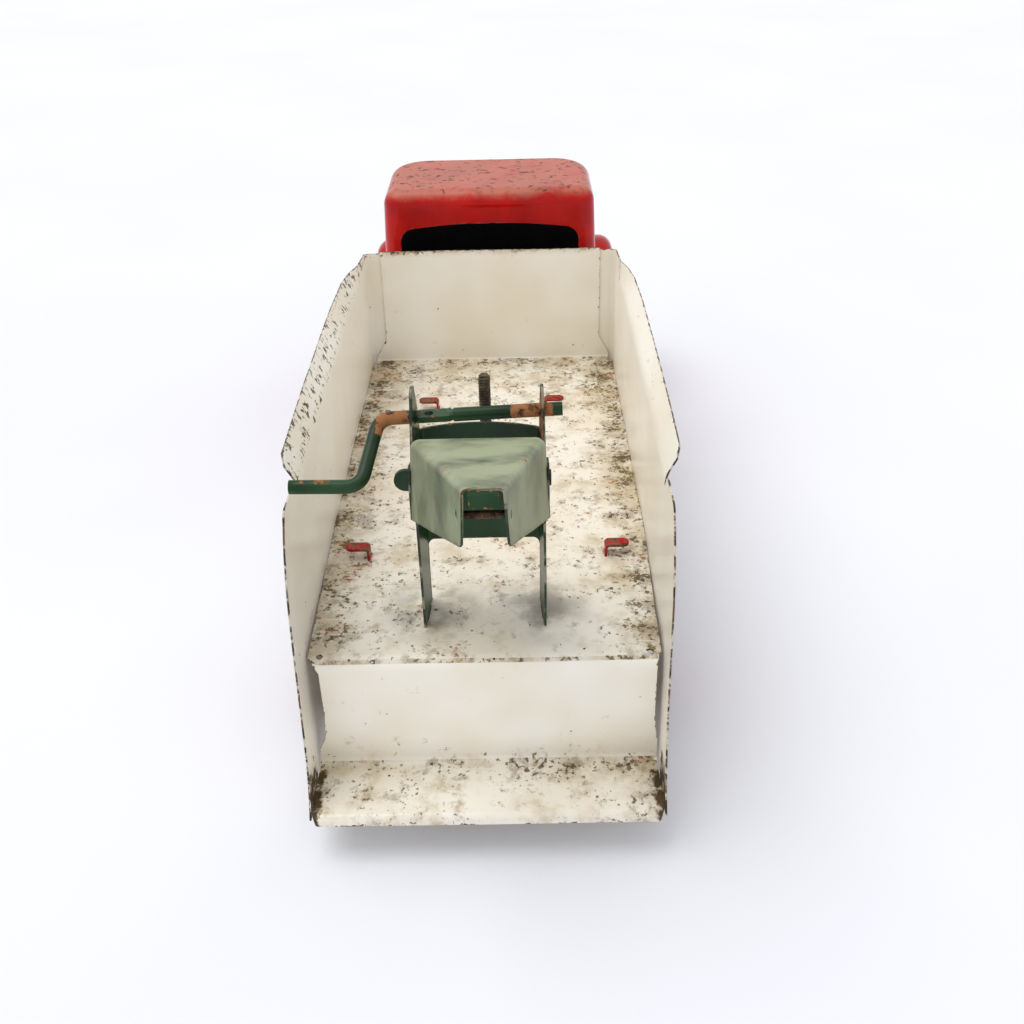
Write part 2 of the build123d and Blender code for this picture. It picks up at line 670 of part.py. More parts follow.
# ---- assembly -----------------------------------------------------------------------------
def wheel_set():
    parts = {}
    places = {"front": (67.0, front_axle_y), "rear": (64.2, rear_axle_y)}
    for end, (x, y) in places.items():
        for side, sign in (("left", 1), ("right", -1)):
            parts[f"tyre_{end}_{side}"] = place_wheel(tyre(), sign * x, y)
            parts[f"wheel_disc_{end}_{side}"] = place_wheel(wheel_disc(), sign * x, y)
        parts[f"{end}_axle"] = axle(y, x + 5.3)
        parts[f"{end}_axle_caps"] = axle_caps(y, x + 3.5)
    return parts


def all_parts():
    side, wing, lamp = bed_side(), front_wing(), headlamp()
    parts = {
        "bed_panel": bed_panel(),
        "bed_side_left": side,
        "bed_side_right": mirror_x(side),
        "rear_axle_bracket": rear_axle_bracket(),
        "chassis_frame": chassis_frame(),
        "front_axle_bracket": front_axle_bracket(),
        "mast_bracket": mast_bracket(),
        "winch_crank": winch_crank(),
        "jib": jib(),
        "jib_nose_pin": jib_nose_pin(),
        "jib_pivot_pin": jib_pivot_pin(),
        "anchor_screw": anchor_screw(),
        "anchor_nut": anchor_nut(),
        "cab_shell": cab_shell(),
        "cab_floor": cab_floor(),
        "bonnet": bonnet(),
        "grille_panel": grille_panel(),
        "front_wing_left": wing,
        "front_wing_right": mirror_x(wing),
        "headlamp_left": lamp,
        "headlamp_right": mirror_x(lamp),
        "front_bumper": front_bumper(),
    }
    parts.update(wheel_set())
    return parts


os.makedirs("parts", exist_ok=True)
for name, shape in all_parts().items():
    export_step(one_solid(shape), f"parts/{name}.step")
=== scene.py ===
import json
from math import cos, pi, radians, sin

import bmesh
import bpy
from mathutils import Matrix, Vector, noise
from mathutils.bvhtree import BVHTree


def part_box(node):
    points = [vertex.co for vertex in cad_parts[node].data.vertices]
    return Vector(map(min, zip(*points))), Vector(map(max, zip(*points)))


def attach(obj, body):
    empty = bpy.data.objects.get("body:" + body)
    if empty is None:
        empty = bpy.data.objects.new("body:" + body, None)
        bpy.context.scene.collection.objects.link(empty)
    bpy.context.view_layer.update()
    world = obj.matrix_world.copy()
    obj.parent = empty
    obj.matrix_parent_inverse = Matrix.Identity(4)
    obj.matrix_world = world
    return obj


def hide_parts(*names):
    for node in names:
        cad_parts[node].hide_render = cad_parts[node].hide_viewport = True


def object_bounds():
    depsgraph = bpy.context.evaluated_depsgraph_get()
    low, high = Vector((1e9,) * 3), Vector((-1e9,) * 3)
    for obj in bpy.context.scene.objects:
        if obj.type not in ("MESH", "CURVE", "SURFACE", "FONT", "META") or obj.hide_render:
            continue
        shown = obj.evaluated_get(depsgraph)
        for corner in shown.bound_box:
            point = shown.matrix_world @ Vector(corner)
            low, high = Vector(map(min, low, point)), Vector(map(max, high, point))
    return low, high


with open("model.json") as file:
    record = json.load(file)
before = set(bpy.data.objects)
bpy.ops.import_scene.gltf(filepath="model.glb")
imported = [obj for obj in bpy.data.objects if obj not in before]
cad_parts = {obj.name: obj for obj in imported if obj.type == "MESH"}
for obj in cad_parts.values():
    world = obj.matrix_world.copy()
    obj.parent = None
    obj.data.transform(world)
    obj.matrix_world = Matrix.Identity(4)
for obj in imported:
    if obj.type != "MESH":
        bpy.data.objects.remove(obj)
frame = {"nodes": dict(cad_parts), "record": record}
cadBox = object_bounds()
mm = 0.001
scene = bpy.context.scene


viewSettings = {
    "place": (-16.5, 564.9, 372.8),   # mm
    "heading": -179.39,
    "pitch": 32.06,
    "roll": -1.39,
    "lens": 39.57,
    "sensor": 36.0,
}


def makeCamera():
    data = bpy.data.cameras.new("camera")
    data.lens = viewSettings["lens"]
    data.sensor_width = viewSettings["sensor"]
    data.clip_start = 0.01
    camera = bpy.data.objects.new("camera", data)
    turn = (Matrix.Rotation(radians(viewSettings["heading"]), 4, "Z")
            @ Matrix.Rotation(radians(90 - viewSettings["pitch"]), 4, "X")
            @ Matrix.Rotation(radians(viewSettings["roll"]), 4, "Z"))
    camera.matrix_world = Matrix.Translation(Vector(viewSettings["place"]) * mm) @ turn
    scene.collection.objects.link(camera)
    scene.camera = camera


lightSettings = {
    "worldColour": "#F6F7FB",
    "worldStrength": 0.88,
    "sunStrength": 1.35,
    "sunTurn": (4, 22, 0),
    "sunSoftness": 45,
}


def makeLights():
    world = bpy.data.worlds.new("softStudio")
    scene.world = world
    world.use_nodes = True
    background = world.node_tree.nodes["Background"]
    background.inputs["Color"].default_value = linearColour(lightSettings["worldColour"])
    background.inputs["Strength"].default_value = lightSettings["worldStrength"]
    lamp = bpy.data.lights.new("softSun", "SUN")
    lamp.energy = lightSettings["sunStrength"]
    lamp.angle = radians(lightSettings["sunSoftness"])
    holder = bpy.data.objects.new("softSun", lamp)
    holder.rotation_euler = [radians(turn) for turn in lightSettings["sunTurn"]]
    scene.collection.objects.link(holder)


def linearColour(hexColour):
    parts = [int(hexColour[i:i + 2], 16) / 255 for i in (1, 3, 5)]
    linear = [c / 12.92 if c <= 0.04045 else ((c + 0.055) / 1.055) ** 2.4 for c in parts]
    return (*linear, 1.0)


def addNode(tree, kind, inputs=None, **settings):
    node = tree.nodes.new(kind)
    for key, value in settings.items():
        setattr(node, key, value)
    for key, value in (inputs or {}).items():
        socket = node.inputs[key]
        if isinstance(value, bpy.types.NodeSocket):
            tree.links.new(value, socket)
        else:
            socket.default_value = value
    return node


def spotMask(tree, where, size, low, high, detail=3.0, roughness=0.55, shift=None):
    # patches about size mm across; low and high set how much is covered and how soft the rim is
    field = addNode(tree, "ShaderNodeTexNoise",
                    {"Vector": where, "Scale": 1 / (size * mm), "Detail": detail, "Roughness": roughness})
    level = field.outputs["Fac"]
    if shift is not None:
        level = addNode(tree, "ShaderNodeMath", {0: level, 1: shift}, operation="ADD").outputs[0]
    ramp = addNode(tree, "ShaderNodeMapRange",
                   {"Value": level, "From Min": low, "From Max": high}, interpolation_type="SMOOTHSTEP")
    return ramp.outputs["Result"]


def mixColour(tree, amount, under, over):
    node = addNode(tree, "ShaderNodeMix", {0: amount, 6: under, 7: over}, data_type="RGBA")
    return node.outputs[2]


def mixNumber(tree, amount, under, over):
    node = addNode(tree, "ShaderNodeMix", {0: amount, 2: under, 3: over}, data_type="FLOAT")
    return node.outputs[0]


def combine(tree, operation, first, second):
    # the result is held between 0 and 1
    return addNode(tree, "ShaderNodeMath", {0: first, 1: second}, operation=operation,
                   use_clamp=True).outputs[0]


def beginMaterial(name):
    material = bpy.data.materials.new(name)
    material.use_nodes = True
    tree = material.node_tree
    shader = tree.nodes["Principled BSDF"]
    coords = tree.nodes.new("ShaderNodeTexCoord")
    return material, tree, shader, coords


def attributeLevel(tree, name):
    return addNode(tree, "ShaderNodeAttribute", attribute_name=name).outputs["Fac"]


def setBump(tree, shader, layers):
    previous = None
    for height, depth in layers:
        inputs = {"Height": height, "Distance": depth * mm, "Strength": 1.0}
        if previous:
            inputs["Normal"] = previous
        previous = addNode(tree, "ShaderNodeBump", inputs).outputs["Normal"]
    tree.links.new(previous, shader.inputs["Normal"])


def scaled(tree, value, factor, offset):
    # free to go below 0 and above 1
    node = addNode(tree, "ShaderNodeMath", {0: value, 1: factor, 2: offset}, operation="MULTIPLY_ADD")
    return node.outputs[0]


def fineGrain(tree, where, size, detail):
    # orange peel or pitting for the bump, size in mm
    return addNode(tree, "ShaderNodeTexNoise",
                   {"Vector": where, "Scale": 1 / (size * mm), "Detail": detail}).outputs["Fac"]


def dotMask(tree, where, spacing, radius, share):
    # small round pits about spacing mm apart; share is how many of the cells have one
    cells = addNode(tree, "ShaderNodeTexVoronoi", {"Vector": where, "Scale": 1 / (spacing * mm)})
    near = addNode(tree, "ShaderNodeMapRange", {"Value": cells.outputs["Distance"],
                   "From Min": radius / spacing, "From Max": 0.6 * radius / spacing}).outputs[0]
    chosen = addNode(tree, "ShaderNodeSeparateColor", {0: cells.outputs["Color"]}).outputs[0]
    chosen = addNode(tree, "ShaderNodeMath", {0: chosen, 1: share}, operation="LESS_THAN").outputs[0]
    return combine(tree, "MULTIPLY", near, chosen)


creamSettings = {
    "paint": "#FBF7EC", "warmPaint": "#F4ECDA", "veil": "#B09A6A", "sootShadow": "#4E4A40",
    "olive": "#7E6C34", "orange": "#A0682C", "brown": "#604822", "dark": "#43341F", "scratch": "#F6F2E8",
    "roughPaint": 0.28, "roughRust": 0.85,
}


def creamEnamel():
    # stove enamel: a glossy warm white that breaks into clustered freckles of rust where it is grimy
    c = {key: linearColour(value) for key, value in creamSettings.items() if isinstance(value, str)}
    material, tree, shader, coords = beginMaterial("creamEnamel")
    where = coords.outputs["Object"]
    names = ("grime", "edgeGap", "rim", "rust", "sootShadow")
    grime, edgeGap, rim, rust, sootShadow = [attributeLevel(tree, name) for name in names]
    colour = mixColour(tree, spotMask(tree, where, 60, 0.35, 0.65, 2.0), c["paint"], c["warmPaint"])

    colour = mixColour(tree, scaled(tree, grime, 0.34, -0.03), colour, c["veil"])
    veil = spotMask(tree, where, 15, 0.46, 0.72, 5.0, 0.62, scaled(tree, grime, 0.40, -0.24))
    colour = mixColour(tree, combine(tree, "MULTIPLY", veil, 0.5), colour, c["veil"])

    # dark grey round the mast feet: greasy smudge and painted shadow of the jib
    smudgeShadow = spotMask(tree, where, 16, 0.34, 0.62, 4.0, 0.6)
    smudgeShadow = combine(tree, "MULTIPLY", smudgeShadow, scaled(tree, sootShadow, 0.62, 0.0))
    colour = mixColour(tree, smudgeShadow, colour, c["sootShadow"])
    cluster = spotMask(tree, where, 13, 0.30, 0.70, 3.0, 0.6)
    lean = scaled(tree, cluster, 0.16, scaled(tree, grime, 0.28, -0.30))
    blotch = spotMask(tree, where, 7, 0.46, 0.64, 6.0, 0.72, lean)
    freckle = spotMask(tree, where, 2.2, 0.57, 0.62, 4.0, 0.65, lean)
    tint = mixColour(tree, spotMask(tree, where, 11, 0.42, 0.58, 2.0), c["olive"], c["brown"])
    tint = mixColour(tree, spotMask(tree, where, 19, 0.56, 0.66, 2.0), tint, c["orange"])
    colour = mixColour(tree, combine(tree, "MULTIPLY", blotch, 0.5), colour, tint)
    inner = mixColour(tree, combine(tree, "MULTIPLY", blotch, 0.6), tint, c["dark"])
    colour = mixColour(tree, combine(tree, "MULTIPLY", freckle, 0.88), colour, inner)
    pits = dotMask(tree, where, 4.6, 0.65, 0.30)
    pitLean = scaled(tree, grime, 0.3, -0.1)
    pits = combine(tree, "MULTIPLY", pits, spotMask(tree, where, 20, 0.48, 0.60, 2.0, 0.5, pitLean))
    colour = mixColour(tree, pits, colour, c["dark"])

    scratchWhere = addNode(tree, "ShaderNodeMapping", {"Vector": where, "Rotation": (0, 0, 0.6),
                                                       "Scale": (1 / 40, 1 / 1.0, 1 / 20)}).outputs[0]
    scratch = addNode(tree, "ShaderNodeTexNoise", {"Vector": scratchWhere, "Scale": 1 / mm,
                                                   "Detail": 1.0, "Distortion": 0.4}).outputs["Fac"]
    scratch = addNode(tree, "ShaderNodeMapRange",
                      {"Value": scratch, "From Min": 0.71, "From Max": 0.74}).outputs[0]
    colour = mixColour(tree, combine(tree, "MULTIPLY", scratch, grime), colour, c["scratch"])

    nearEdge = addNode(tree, "ShaderNodeMapRange", {"Value": edgeGap, "From Min": 0.0, "From Max": 1.8,
                                                    "To Min": 0.03, "To Max": -0.30}).outputs[0]
    chip = spotMask(tree, where, 2.8, 0.56, 0.60, 4.0, 0.6, nearEdge)
    rimChip = spotMask(tree, where, 4.0, 0.60, 0.63, 5.0, 0.7, scaled(tree, rim, 0.34, -0.30))
    chip = combine(tree, "MAXIMUM", chip, rimChip)
    colour = mixColour(tree, chip, colour, mixColour(tree, cluster, c["dark"], c["olive"]))
    wedge = spotMask(tree, where, 5, 0.40, 0.62, 5.0, 0.6, scaled(tree, rust, 0.55, -0.42))
    colour = mixColour(tree, wedge, colour, mixColour(tree, cluster, c["brown"], c["dark"]))

    rusted = combine(tree, "MAXIMUM", freckle, pits)
    worn = combine(tree, "MAXIMUM", rusted, combine(tree, "MAXIMUM", chip, wedge))
    tree.links.new(colour, shader.inputs["Base Color"])
    rough = mixNumber(tree, worn, creamSettings["roughPaint"], creamSettings["roughRust"])
    tree.links.new(rough, shader.inputs["Roughness"])
    shader.inputs["IOR"].default_value = 1.5
    shader.inputs["Specular IOR Level"].default_value = 0.4
    peel = fineGrain(tree, where, 2.2, 2.0)
    setBump(tree, shader, [(combine(tree, "SUBTRACT", 1.0, worn), 0.10), (peel, 0.015)])
    return material


edgeSettings = {
    "creamEdge": {"paint": "#CFC6B2", "dark": "#352A20", "rust": "#6B4630", "cover": 0.50},
    "greenEdge": {"paint": "#2A4528", "dark": "#2A241B", "rust": "#8C8A78", "cover": 0.52},
}


def chippedEdge(name):
    # short broken runs of paint and dark steel along the sheet's thickness
    settings = edgeSettings[name]
    material, tree, shader, coords = beginMaterial(name)
    where = coords.outputs["Object"]
    cover = settings["cover"]
    colour = mixColour(tree, spotMask(tree, where, 4, cover - 0.05, cover + 0.03, 5.0, 0.7),
                       linearColour(settings["paint"]), linearColour(settings["dark"]))
    rustPatch = spotMask(tree, where, 9, 0.52, 0.62, 3.0)
    colour = mixColour(tree, rustPatch, colour, linearColour(settings["rust"]))
    tree.links.new(colour, shader.inputs["Base Color"])
    shader.inputs["Roughness"].default_value = 0.7
    setBump(tree, shader, [(spotMask(tree, where, 1.2, 0.3, 0.7), 0.06)])
    return material


redSettings = {
    "name": "redEnamel", "paint": "#BC0B05", "deep": "#9C0804", "chalkSheenTint": "#BD8069", "rust": "#80503A",
    "dark": "#4E3022", "primer": "#6B2A20", "chalkSheenSize": 16, "haze": 0.66,
    "rough": 0.14, "coat": 0.12, "specular": 0.15,
}
wheelSettings = dict(redSettings, name="wheelEnamel", haze=0.3, rough=0.3, coat=0.0)
greenSettings = {
    # pale haze tint: chalking, and on the jib also painted sky reflection
    "name": "greenEnamel", "paint": "#1C4020", "deep": "#122C17", "chalkSheenTint": "#A9B08D", "rust": "#9C6840",
    "dark": "#3A2A1D", "primer": "#A0765A", "chalkSheenSize": 26, "haze": 0.86,
    "rough": 0.30, "coat": 0.0, "specular": 0.2,
}


def wornEnamel(settings):
    # gloss paint with a chalky haze, rubbed ridges and patches worn through to rust; on the jib the haze
    # is also painted sky reflection on faces turned up
    c = {key: linearColour(settings[key]) for key in ("paint", "deep", "chalkSheenTint", "rust", "dark", "primer")}
    material, tree, shader, coords = beginMaterial(settings["name"])
    where = coords.outputs["Object"]
    names = ("wear", "edgeGap", "chalkAndSheen", "ridge")
    wear, edgeGap, chalkAndSheen, ridge = [attributeLevel(tree, name) for name in names]
    colour = mixColour(tree, spotMask(tree, where, 30, 0.35, 0.65, 2.0), c["paint"], c["deep"])

    # pale haze: chalking, and painted sky reflection where the jib faces up
    cloudLean = scaled(tree, chalkAndSheen, 0.2, -0.15)
    cloudy = spotMask(tree, where, settings["chalkSheenSize"], 0.22, 0.62, 5.0, 0.6, cloudLean)
    haze = combine(tree, "MULTIPLY", combine(tree, "MULTIPLY", cloudy, chalkAndSheen), settings["haze"])
    colour = mixColour(tree, haze, colour, c["chalkSheenTint"])

    lean = scaled(tree, ridge, 0.26, -0.17)
    spotted = spotMask(tree, where, 5, 0.52, 0.60, 5.0, 0.65, lean)
    colour = mixColour(tree, combine(tree, "MULTIPLY", spotted, 0.85), colour, c["primer"])

    rubbed = spotMask(tree, where, 5, 0.50, 0.58, 5.0, 0.65, scaled(tree, wear, 0.66, -0.26))
    nearEdge = addNode(tree, "ShaderNodeMapRange", {"Value": edgeGap, "From Min": 0.0, "From Max": 1.6,
                                                    "To Min": 0.06, "To Max": -0.30}).outputs[0]
    chip = spotMask(tree, where, 2.6, 0.56, 0.60, 4.0, 0.6, nearEdge)
    bare = combine(tree, "MAXIMUM", rubbed, chip)
    rust = mixColour(tree, spotMask(tree, where, 4, 0.46, 0.66, 4.0, 0.7), c["rust"], c["dark"])
    colour = mixColour(tree, bare, colour, rust)

    tree.links.new(colour, shader.inputs["Base Color"])
    gloss = mixNumber(tree, haze, settings["rough"], 0.55)
    tree.links.new(mixNumber(tree, bare, gloss, 0.75), shader.inputs["Roughness"])
    shader.inputs["IOR"].default_value = 1.5
    shader.inputs["Specular IOR Level"].default_value = settings["specular"]
    shader.inputs["Coat Weight"].default_value = settings["coat"]
    shader.inputs["Coat Roughness"].default_value = 0.08
    peel = fineGrain(tree, where, 2.5, 2.0)
    setBump(tree, shader, [(combine(tree, "SUBTRACT", 1.0, bare), 0.08), (peel, 0.015)])
    return material


plainSettings = {  # light and dark colour, patch size in mm, metallic, roughness range, bump in mm
    "rustySteel": ("#6A4A30", "#2C2118", 3.0, 0.3, 0.6, 0.85, 0.08),
    "threadSteel": ("#5C5236", "#33291B", 6.0, 0.3, 0.5, 0.8, 0.03),
    "dullPlating": ("#B5B2AA", "#6E665C", 4.0, 1.0, 0.3, 0.6, 0.03),
    "lampEnamel": ("#D8D3C6", "#A89F8C", 12.0, 0.4, 0.3, 0.5, 0.02),
    "mouldedRubber": ("#1D1C1B", "#35322D", 14.0, 0.0, 0.6, 0.85, 0.06),
    # near black: painted shade for the inner faces of the cab, bonnet and cab floor
    "blackInsideShade": ("#0B0605", "#150A08", 12.0, 0.0, 0.7, 0.9, 0.02),
}


def plainWorn(name):
    # two tones in ragged patches, the darker one rougher
    light, dark, size, metallic, roughLow, roughHigh, bump = plainSettings[name]
    material, tree, shader, coords = beginMaterial(name)
    where = coords.outputs["Object"]
    patch = spotMask(tree, where, size, 0.38, 0.62, 5.0, 0.65)
    tone = mixColour(tree, patch, linearColour(light), linearColour(dark))
    tree.links.new(tone, shader.inputs["Base Color"])
    tree.links.new(mixNumber(tree, patch, roughLow, roughHigh), shader.inputs["Roughness"])
    shader.inputs["Metallic"].default_value = metallic
    fine = fineGrain(tree, where, size * 0.3, 4.0)
    setBump(tree, shader, [(fine, bump)])
    return material


def mergedCopy(node):
    shape = bmesh.new()
    shape.from_mesh(frame["nodes"][node].data)
    bmesh.ops.remove_doubles(shape, verts=shape.verts, dist=0.0005 * mm)
    bmesh.ops.dissolve_degenerate(shape, dist=0.0005 * mm, edges=shape.edges)
    return shape


def markCutEdges(shape, sheet):
    # a face is a cut edge where the metal behind it is thicker than the sheet
    tree = BVHTree.FromBMesh(shape)
    for face in shape.faces:
        start = face.calc_center_median() - face.normal * 0.01 * mm
        hit = tree.ray_cast(start, -face.normal)
        through = hit[3] if hit[3] is not None else 1.0
        face.material_index = 1 if through > 1.6 * sheet * mm else 0


def cutIntoCells(shape, cell):
    # a regular grid of cuts gives the later dents and wear something to hold on to
    for axis in range(3):
        low = min(v.co[axis] for v in shape.verts)
        high = max(v.co[axis] for v in shape.verts)
        steps = int((high - low) / (cell * mm))
        normal = Vector([1.0 if i == axis else 0.0 for i in range(3)])
        for n in range(1, steps + 1):
            point = Vector((0, 0, 0))
            point[axis] = low + (high - low) * n / (steps + 1)
            bmesh.ops.bisect_plane(shape, geom=shape.verts[:] + shape.edges[:] + shape.faces[:],
                                   dist=0.02 * mm, plane_co=point, plane_no=normal)


def dentSheet(shape, depth, size):
    for vertex in shape.verts:
        vertex.co += noise.noise_vector(vertex.co / (size * mm)) * depth * mm


def keepInBox(shape):
    low, high = cadBox
    for vertex in shape.verts:
        for axis in range(3):
            vertex.co[axis] = min(max(vertex.co[axis], low[axis]), high[axis])


def writeLevels(shape, rules):
    edges = [f for f in shape.faces if f.material_index == 1]
    gapLayer = shape.verts.layers.float.new("edgeGap")
    if edges:
        tree = BVHTree.FromPolygons([v.co for v in shape.verts],
                                    [[v.index for v in f.verts] for f in edges])
        for vertex in shape.verts:
            near = tree.find_nearest(vertex.co)
            vertex[gapLayer] = near[3] / mm
    else:
        for vertex in shape.verts:
            vertex[gapLayer] = 20.0
    for name, rule in rules.items():
        writeRule(shape, name, rule)


def noLevel(place, normal):
    return 0.0


def faintChalk(place, normal):
    return 0.06


def writeRule(shape, name, rule):
    layer = shape.verts.layers.float.new(name)
    for vertex in shape.verts:
        vertex[layer] = rule(vertex.co / mm, vertex.normal)


def finishPiece(name, shape, materials, body, replaced, sharpAngle=32):
    mesh = bpy.data.meshes.new(name)
    keepInBox(shape)
    shape.to_mesh(mesh)
    shape.free()
    for material in materials:
        mesh.materials.append(material)
    mesh.shade_smooth()
    mesh.set_sharp_from_angle(angle=radians(sharpAngle))
    piece = bpy.data.objects.new(name, mesh)
    scene.collection.objects.link(piece)
    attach(piece, body)
    if replaced:
        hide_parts(*replaced)
    return piece


def bodyOf(node):
    for body, members in frame["record"]["behaviour"]["bodies"].items():
        if node in members:
            return body


def slotOf(node):
    return next(part["material_slot"] for part in frame["record"]["subparts"] if part["node"] == node)


def clamp01(value):
    return max(0.0, min(1.0, value))


bedSettings = {  # mm
    "sheet": 0.8, "cell": 4.0, "dent": 0.40, "dentSize": 60,
    "floorEnd": 205, "floorHeight": 79, "rimFoot": 140, "rimEnd": 174, "wallInside": 66, "rimInside": 70,
    "legSide": 24, "legPlace": 172, "legReach": 8, "sootShadowReach": 16,
}


def bedGrime(place, normal):
    x, y, z = place
    if normal.z > 0.6:
        if y > bedSettings["floorEnd"]:
            return 0.54 + 0.22 * clamp01((222 - y) / 12) + 0.18 * clamp01((abs(x) - 50) / 20)
        level = 0.60 + 0.35 * clamp01((abs(x) - 52) / 18) + 0.15 * clamp01((-20 - y) / 40)
        return clamp01(level - 0.35 * clamp01(1 - (Vector((x + 25, y - 185)).length / 45)))
    if normal.y > 0.5 and y > 0:
        return 0.10 + 0.45 * clamp01((36 - z) / 12)
    return 0.10


def sideGrime(place, normal):
    # a dirty line outside where the floor meets the side, and splashes low down
    aheadOfStep = place.y < bedSettings["floorEnd"]
    floorLine = clamp01(1 - abs(place.z - bedSettings["floorHeight"]) / 6) * aheadOfStep
    splashes = clamp01((40 - place.z) / 20)
    return clamp01(0.06 + 0.5 * floorLine + 0.3 * splashes)


def rimLevel(place, normal):
    # the left rim is more chipped than the right
    aheadOfNotch = place.y < bedSettings["rimEnd"]
    onRim = clamp01((place.z - bedSettings["rimFoot"]) / 3) * aheadOfNotch
    onRim *= abs(place.x) > bedSettings["rimInside"]
    return onRim * (1.0 if place.x > 0 else 0.72)


def wedgeRust(place, normal):
    # rust in the corners where the sides meet the ledge
    nearWall = clamp01((abs(place.x) - bedSettings["wallInside"]) / 5)
    return nearWall * clamp01((place.y - 209) / 6) * clamp01((48 - place.z) / 20)


def craneSootShadow(place, normal):
    # greasy smudge on the floor round the feet of the mast, with the jib's shadow painted into it as dark
    # grey
    if normal.z < 0.6 or place.y > bedSettings["floorEnd"]:
        return 0.0
    along = (place.y - bedSettings["legPlace"]) * 0.8
    sides = (-bedSettings["legSide"], bedSettings["legSide"])
    nearLeg = min(Vector((place.x - side, along)).length for side in sides)
    return clamp01(1 - (nearLeg - bedSettings["legReach"]) / bedSettings["sootShadowReach"])


def makeBed(materials):
    rules = {"rim": rimLevel, "rust": wedgeRust, "sootShadow": craneSootShadow}
    grimes = {"bed_panel": bedGrime, "bed_side_left": sideGrime, "bed_side_right": sideGrime}
    for node, grime in grimes.items():
        shape = mergedCopy(node)
        markCutEdges(shape, bedSettings["sheet"])
        cutIntoCells(shape, bedSettings["cell"])
        writeLevels(shape, dict(rules, grime=grime))
        dentSheet(shape, bedSettings["dent"], bedSettings["dentSize"])
        paints = [materials["cream"], materials["creamEdge"]]
        finishPiece(node + "_sheet", shape, paints, "chassis", [node])
    print("bed done")


redPieceSettings = {
    "shells": ("cab_shell", "bonnet", "front_wing_left", "front_wing_right"), "sheet": 1.0, "cell": 5.0,
    "insides": {"cab_shell": (0, -145, 120), "bonnet": (0, -225, 80), "cab_floor": (0, -145, 120)},
    "tabHeights": (78.4, 90), "tabPlaces": (-60, 150),  # where the chassis tabs stand on the bed's floor
}


def onTab(place):
    low, high = redPieceSettings["tabHeights"]
    front, rear = redPieceSettings["tabPlaces"]
    return low < place.z < high and front < place.y < rear


def redWear(place, normal):
    roof = clamp01((place.z - 174) / 5)
    return 0.14 + 0.17 * roof + 0.32 * onTab(place)


def redChalk(place, normal):
    roof = clamp01((normal.z - 0.35) / 0.5) * clamp01((place.z - 165) / 8)
    return max(0.1 * onTab(place), roof)


def darkenInside(shape, middle):
    # faces that look towards the middle of the shell are painted near black, standing in for the shade
    # inside it
    for face in shape.faces:
        toMiddle = Vector(middle) * mm - face.calc_center_median()
        face.material_index = 1 if face.normal.dot(toMiddle.normalized()) > 0.15 else 0


def makeRed(materials):
    insides = redPieceSettings["insides"]
    for node in [n for n in frame["nodes"] if slotOf(n) in ("red_enamel", "wheel_enamel")]:
        shape = mergedCopy(node)
        if node in redPieceSettings["shells"]:
            markCutEdges(shape, redPieceSettings["sheet"])
            cutIntoCells(shape, redPieceSettings["cell"])
        writeLevels(shape, {"wear": redWear, "chalkAndSheen": redChalk, "ridge": noLevel})
        for face in shape.faces:
            face.material_index = 0
        if node in insides:
            darkenInside(shape, insides[node])
        key = "red" if slotOf(node) == "red_enamel" else "wheel"
        paints = [materials[key], materials["inside"]]
        finishPiece(node + "_skin", shape, paints, bodyOf(node), [node])
    print("red pieces done")


greenPieceSettings = {
    "sheets": {"jib": 0.8, "mast_bracket": 1.0}, "cell": 3.5, "dent": 0.22, "dentSize": 30,
}


def greenWear(place, normal):
    # the shaft is rubbed to rust where it turns in the mast, and worn on top of the handle
    onShaft = 168 < place.y < 183 and 165 < place.z < 185 and abs(place.x) > 12
    if onShaft and (26 < place.x < 39 or -27 < place.x < -13):
        return 0.95
    if place.x > 46 and normal.z > 0.8:
        return 0.38
    return 0.32 if onShaft else 0.12


def jibChalkAndSheen(place, normal):
    # painted sky reflection together with chalking: the jib's outer faces get a pale haze, strongest
    # where they face up
    outside = place.y > 186 and (normal.z > 0.1 or abs(normal.x) > 0.5)
    return clamp01(0.62 + 0.5 * normal.z) if outside else 0.05


def ridgeLevels(shape):
    # how sharply the sheet turns outwards at each point
    layer = shape.verts.layers.float.new("ridge")
    for vertex in shape.verts:
        folds = [edge for edge in vertex.link_edges if len(edge.link_faces) == 2
                 and not any(face.material_index == 1 for face in edge.link_faces)]
        turns = [edge.calc_face_angle_signed(0.0) for edge in folds]
        vertex[layer] = clamp01(max(turns, default=0.0) / 0.35)


def makeGreen(materials):
    for node in [n for n in frame["nodes"] if slotOf(n) == "green_enamel"]:
        shape = mergedCopy(node)
        isSheet = node in greenPieceSettings["sheets"]
        if isSheet:
            markCutEdges(shape, greenPieceSettings["sheets"][node])
        if isSheet or node == "winch_crank":
            cutIntoCells(shape, greenPieceSettings["cell"])
        chalkAndSheen = jibChalkAndSheen if node == "jib" else faintChalk
        writeLevels(shape, {"wear": greenWear, "chalkAndSheen": chalkAndSheen})
        if node == "jib":
            ridgeLevels(shape)
        else:
            writeRule(shape, "ridge", noLevel)
        if isSheet:
            dentSheet(shape, greenPieceSettings["dent"], greenPieceSettings["dentSize"])
        paints = [materials["green"], materials["greenEdge"]]
        finishPiece(node + "_skin", shape, paints, bodyOf(node), [node])
    print("green pieces done")


def makeOthers(materials):
    keys = {"tyre_rubber": "rubber", "rusty_steel": "rusty",
            "plated_steel": "plated", "lamp_enamel": "lamp"}
    for node in frame["nodes"]:
        key = keys.get(slotOf(node))
        if key and node != "anchor_screw":
            shape = mergedCopy(node)
            finishPiece(node + "_skin", shape, [materials[key]], bodyOf(node), [node])
    print("small pieces done")


screwSettings = {  # mm; the thread is cut deeper than the real one so that it shows
    "radius": 2.5, "depth": 0.55, "pitch": 1.15, "ring": 32, "perPitch": 8,
    "headRadius": 4.2, "headHeight": 2.6, "sharpAngle": 25,
}


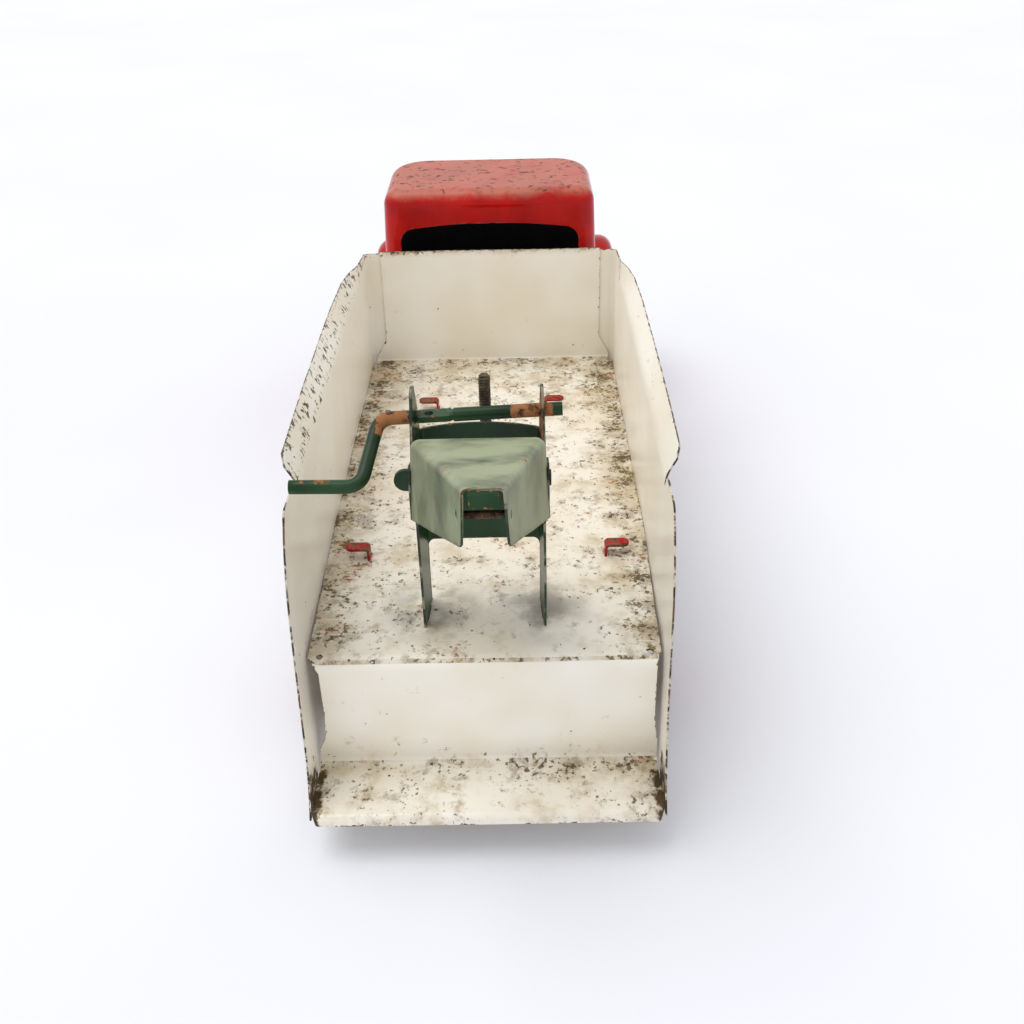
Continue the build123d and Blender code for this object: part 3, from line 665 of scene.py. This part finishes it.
def makeScrew(materials):
    low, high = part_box("anchor_screw")
    centre = (low + high) / 2
    shape = bmesh.new()
    rows = int((high.z - low.z) / mm / screwSettings["pitch"] * screwSettings["perPitch"])
    ring = screwSettings["ring"]
    made = []
    for row in range(rows + 1):
        z = low.z + (high.z - low.z) * row / rows
        above = (z - low.z) / mm
        taper = clamp01(((high.z - z) / mm + 0.6) / 1.6)
        line = []
        for step in range(ring):
            turn = 2 * pi * step / ring
            phase = (above / screwSettings["pitch"] - step / ring) % 1.0
            cut = screwSettings["depth"] * (1 - abs(2 * phase - 1))
            radius = screwSettings["radius"] * (0.55 + 0.45 * taper) - cut * taper
            if above <= screwSettings["headHeight"]:
                radius = screwSettings["headRadius"]
            across, along = radius * mm * cos(turn), radius * mm * sin(turn)
            line.append(shape.verts.new((centre.x + across, centre.y + along, z)))
        made.append(line)
    for lower, upper in zip(made, made[1:]):
        for step in range(ring):
            after = (step + 1) % ring
            shape.faces.new((lower[step], lower[after], upper[after], upper[step]))
    shape.faces.new(list(reversed(made[0])))
    shape.faces.new(made[-1])
    bmesh.ops.recalc_face_normals(shape, faces=shape.faces)
    finishPiece("anchor_screw_thread", shape, [materials["thread"]], "chassis", ["anchor_screw"],
                screwSettings["sharpAngle"])
    print("screw done")


floorSettings = {"colour": "#EAEBEF", "half": 4.0}  # half its width in metres


def makeFloor():
    material, tree, shader, coords = beginMaterial("paleFloor")
    tone = spotMask(tree, coords.outputs["Object"], 300, 0.3, 0.7, 2.0)
    light = linearColour(floorSettings["colour"])
    soft = tuple(c * 0.97 for c in light[:3]) + (1.0,)
    tree.links.new(mixColour(tree, tone, light, soft), shader.inputs["Base Color"])
    shader.inputs["Roughness"].default_value = 0.8
    shape = bmesh.new()
    bmesh.ops.create_grid(shape, x_segments=1, y_segments=1, size=floorSettings["half"])
    mesh = bpy.data.meshes.new("floor")
    shape.to_mesh(mesh)
    shape.free()
    mesh.materials.append(material)
    floor = bpy.data.objects.new("floor", mesh)
    scene.collection.objects.link(floor)


makeCamera()
makeLights()
makeFloor()
finishes = {
    "cream": creamEnamel(),
    "creamEdge": chippedEdge("creamEdge"),
    "greenEdge": chippedEdge("greenEdge"),
    "red": wornEnamel(redSettings),
    "wheel": wornEnamel(wheelSettings),
    "green": wornEnamel(greenSettings),
    "inside": plainWorn("blackInsideShade"),
    "rusty": plainWorn("rustySteel"),
    "thread": plainWorn("threadSteel"),
    "plated": plainWorn("dullPlating"),
    "lamp": plainWorn("lampEnamel"),
    "rubber": plainWorn("mouldedRubber"),
}
makeBed(finishes)
makeRed(finishes)
makeGreen(finishes)
makeOthers(finishes)
makeScrew(finishes)
scene.view_settings.view_transform = "Standard"
